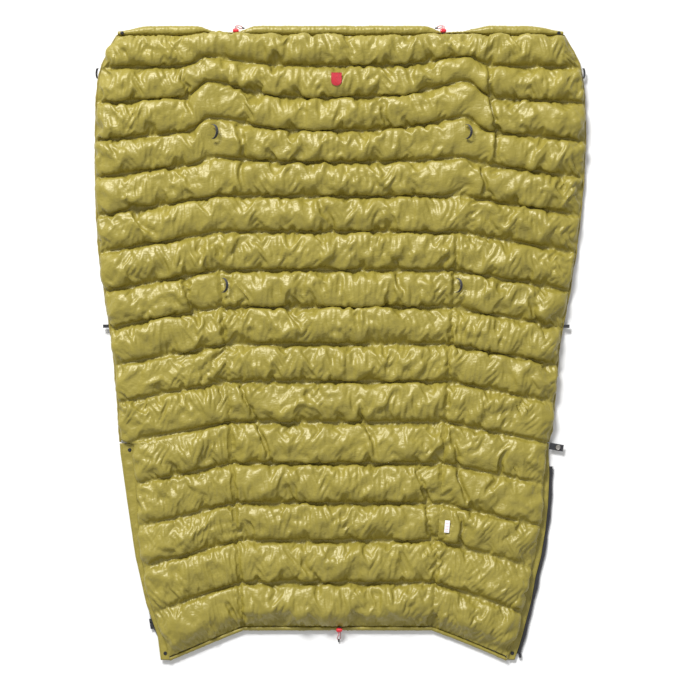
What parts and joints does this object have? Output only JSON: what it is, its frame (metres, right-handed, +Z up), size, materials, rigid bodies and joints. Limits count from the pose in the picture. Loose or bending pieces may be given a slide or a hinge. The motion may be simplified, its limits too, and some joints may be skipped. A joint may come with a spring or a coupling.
{
  "type": "camp quilt",
  "caption": "Tapered down camp quilt with cross rows of chambers, collar tube, foot drawcord, half-length separating zip, cord locks, snaps and webbing loops.",
  "frame": {"origin": "on the ground, at the middle of the bounding box of the quilt laid open", "axes": "+X to the right and +Y to the head, seen from above with the lining up; +Z up from the ground"},
  "size_m": [1.4766, 1.9116, 0.0846],
  "materials": {
    "liner_fabric": "glossy thin ripstop nylon, crinkled",
    "shell_fabric": "glossy thin ripstop nylon",
    "down_fill": "loose down",
    "baffle_mesh": "fine mesh",
    "hem_binding": "folded edge binding",
    "black_webbing": "ribbed woven tape",
    "zip_tape": "fine woven tape",
    "zip_plastic": "satin moulded",
    "black_plastic": "satin moulded",
    "red_plastic": "satin moulded",
    "red_cord": "braided elastic cord",
    "snap_metal": "polished",
    "snap_black": "satin black",
    "spring_steel": "bright",
    "label_white": "smooth satin tape",
    "badge_red": "embroidered patch"
  },
  "bodies": {
    "centre": {"liner_centre": "liner_fabric", "shell_centre": "shell_fabric", "down_centre": "down_fill", "baffles_centre": "baffle_mesh", "collar_centre": "liner_fabric", "collar_drawcord": "red_cord", "foot_channel_centre": "liner_fabric", "foot_drawcord_centre": "red_cord", "badge": "badge_red", "cord_exits": "black_plastic", "cord_loop_left": "red_cord", "cord_loop_right": "red_cord", "cord_loop_foot": "red_cord", "cord_ends": "black_plastic"},
    "left_wing": {"liner_left": "liner_fabric", "shell_left": "shell_fabric", "down_left": "down_fill", "baffles_left": "baffle_mesh", "collar_left": "liner_fabric", "foot_channel_left": "liner_fabric", "foot_drawcord_left": "red_cord", "hem_left": "hem_binding", "zip_flap_left": "liner_fabric", "zip_tape_left": "zip_tape", "zip_coil_left": "zip_plastic", "zip_pin": "zip_plastic", "snaps_left": "snap_black", "side_loops_left": "black_webbing"},
    "right_wing": {"liner_right": "liner_fabric", "shell_right": "shell_fabric", "down_right": "down_fill", "baffles_right": "baffle_mesh", "collar_right": "liner_fabric", "foot_channel_right": "liner_fabric", "foot_drawcord_right": "red_cord", "hem_right": "hem_binding", "zip_band_right": "liner_fabric", "zip_tape_right": "zip_tape", "zip_coil_right": "zip_plastic", "zip_box": "zip_plastic", "snaps_right": "snap_black", "side_loops_right": "black_webbing"},
    "zip_slider": {"zip_slider": "zip_plastic"},
    "zip_pull": {"zip_pull": "zip_plastic"},
    "snap_tab": {"snap_tab": "black_webbing", "snap_tab_cap": "snap_metal"},
    "care_label": {"care_label": "label_white"},
    "loop_left_upper": {"loop_left_upper": "black_webbing"},
    "loop_left_lower": {"loop_left_lower": "black_webbing"},
    "loop_right_upper": {"loop_right_upper": "black_webbing"},
    "loop_right_lower": {"loop_right_lower": "black_webbing"},
    "lock_left": {"lock_left_barrel": "red_plastic", "lock_left_spring": "spring_steel"},
    "plunger_left": {"lock_left_plunger": "red_plastic"},
    "lock_right": {"lock_right_barrel": "red_plastic", "lock_right_spring": "spring_steel"},
    "plunger_right": {"lock_right_plunger": "red_plastic"},
    "lock_foot": {"lock_foot_barrel": "red_plastic", "lock_foot_spring": "spring_steel"},
    "plunger_foot": {"lock_foot_plunger": "red_plastic"}
  },
  "joints": [
    {"name": "left_wing_fold", "type": "hinge", "parent": "centre", "child": "left_wing", "pos_m": [-0.347, 0, 0.066], "axis": [-0.0639, 0.998, 0], "range_deg": [0, 120]},
    {"name": "right_wing_fold", "type": "hinge", "parent": "centre", "child": "right_wing", "pos_m": [0.329, 0, 0.066], "axis": [-0.0639, -0.998, 0], "range_deg": [0, 120]},
    {"name": "zip_slide", "type": "slide", "parent": "left_wing", "child": "zip_slider", "axis": [-0.1666, 0.986, 0], "range_m": [0, 0.42]},
    {"name": "zip_pull_swing", "type": "hinge", "parent": "zip_slider", "child": "zip_pull", "pos_m": [-0.571, -0.836, 0.00865], "axis": [0.986, 0.1666, 0], "range_deg": [-120, 0]},
    {"name": "snap_tab_fold", "type": "hinge", "parent": "right_wing", "child": "snap_tab", "pos_m": [0.6285, -0.308, 0.0133], "axis": [-0.1736, -0.9848, 0], "range_deg": [0, 85]},
    {"name": "care_label_flip", "type": "hinge", "parent": "right_wing", "child": "care_label", "pos_m": [0.3095, -0.5465, 0.0548], "axis": [0.0872, 0.9962, 0], "range_deg": [-90, 0]},
    {"name": "loop_left_upper_swing", "type": "hinge", "parent": "centre", "child": "loop_left_upper", "pos_m": [-0.38145, 0.632, 0.0666], "axis": [0, 1, 0], "range_deg": [-60, 20]},
    {"name": "loop_left_lower_swing", "type": "hinge", "parent": "centre", "child": "loop_left_lower", "pos_m": [-0.35214, 0.174, 0.0566], "axis": [0, 1, 0], "range_deg": [-60, 20]},
    {"name": "loop_right_upper_swing", "type": "hinge", "parent": "right_wing", "child": "loop_right_upper", "pos_m": [0.37545, 0.632, 0.0666], "axis": [0, 1, 0], "range_deg": [-60, 20]},
    {"name": "loop_right_lower_swing", "type": "hinge", "parent": "right_wing", "child": "loop_right_lower", "pos_m": [0.34614, 0.174, 0.0566], "axis": [0, 1, 0], "range_deg": [-60, 20]},
    {"name": "lock_left_slide", "type": "slide", "parent": "centre", "child": "lock_left", "axis": [0, 1, 0], "range_m": [0, 0.0025]},
    {"name": "plunger_left_press", "type": "slide", "parent": "lock_left", "child": "plunger_left", "axis": [-1, 0, 0], "range_m": [0, 0.0025], "stiffness_N_per_m": 1500, "springref_m": -0.002, "deforming": ["lock_left_spring"]},
    {"name": "lock_right_slide", "type": "slide", "parent": "centre", "child": "lock_right", "axis": [0, 1, 0], "range_m": [0, 0.0025]},
    {"name": "plunger_right_press", "type": "slide", "parent": "lock_right", "child": "plunger_right", "axis": [-1, 0, 0], "range_m": [0, 0.0025], "stiffness_N_per_m": 1500, "springref_m": -0.002, "deforming": ["lock_right_spring"]},
    {"name": "lock_foot_slide", "type": "slide", "parent": "centre", "child": "lock_foot", "axis": [0, -1, 0], "range_m": [0, 0.006]},
    {"name": "plunger_foot_press", "type": "slide", "parent": "lock_foot", "child": "plunger_foot", "axis": [-1, 0, 0], "range_m": [0, 0.0025], "stiffness_N_per_m": 1500, "springref_m": -0.002, "deforming": ["lock_foot_spring"]}
  ]
}
